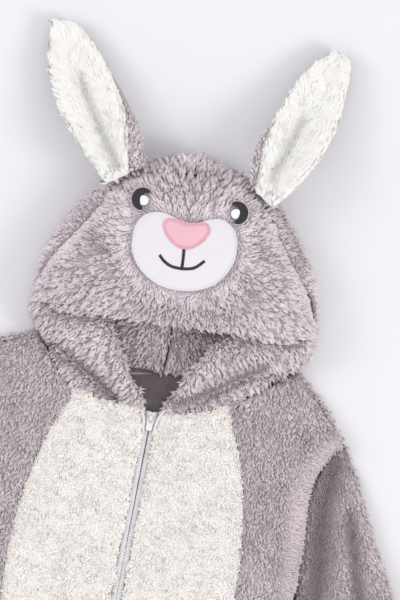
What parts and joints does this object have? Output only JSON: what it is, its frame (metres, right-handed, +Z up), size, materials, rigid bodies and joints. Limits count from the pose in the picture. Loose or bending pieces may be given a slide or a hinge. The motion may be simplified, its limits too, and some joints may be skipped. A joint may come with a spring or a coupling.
{
  "type": "hooded one-piece pajama with rabbit ears",
  "caption": "Toddler's hooded one-piece pajama in grey long-pile fleece with rabbit ears and face on the hood, white belly, front zip, laid flat face up.",
  "frame": {"origin": "centre of the garment's footprint on the surface it lies on", "axes": "+Y from the hems to the hood, +X to the wearer's left, +Z up from the surface"},
  "size_m": [0.626, 1.0163, 0.0658],
  "materials": {
    "grey_fleece": "long curly pile, matt",
    "white_curly_fleece": "short curly pile, matt",
    "white_ear_pile": "smooth brushed pile",
    "white_patch": "smooth knit patch",
    "pink_patch": "smooth knit patch with a satin border",
    "black_patch": "satin patch",
    "zip_tape": "woven tape",
    "zip_white": "satin white plastic and enamel"
  },
  "bodies": {
    "garment": {"hood_front": "grey_fleece", "hood_back_left": "grey_fleece", "hood_back_right": "grey_fleece", "ear_left_outer": "grey_fleece", "ear_left_inner": "white_ear_pile", "ear_right_outer": "grey_fleece", "ear_right_inner": "white_ear_pile", "muzzle": "white_patch", "nose": "pink_patch", "eye_left": "black_patch", "eye_right": "black_patch", "eye_left_glint": "white_patch", "eye_right_glint": "white_patch", "back": "grey_fleece", "side_front_left": "grey_fleece", "side_front_right": "grey_fleece", "belly_left": "white_curly_fleece", "belly_right": "white_curly_fleece", "sleeve_left": "grey_fleece", "sleeve_right": "grey_fleece", "zip_tape_left": "zip_tape", "zip_tape_right": "zip_tape", "zip_coil_left": "zip_white", "zip_coil_right": "zip_white", "zip_slider": "zip_white", "zip_bottom_stop": "zip_white"},
    "zip_pull": {"zip_pull": "zip_white"}
  },
  "joints": [
    {"name": "pull_hinge", "type": "hinge", "parent": "garment", "child": "zip_pull", "pos_m": [0, 0.148, 0.01415], "axis": [-1, 0, 0], "range_deg": [0, 150]}
  ]
}
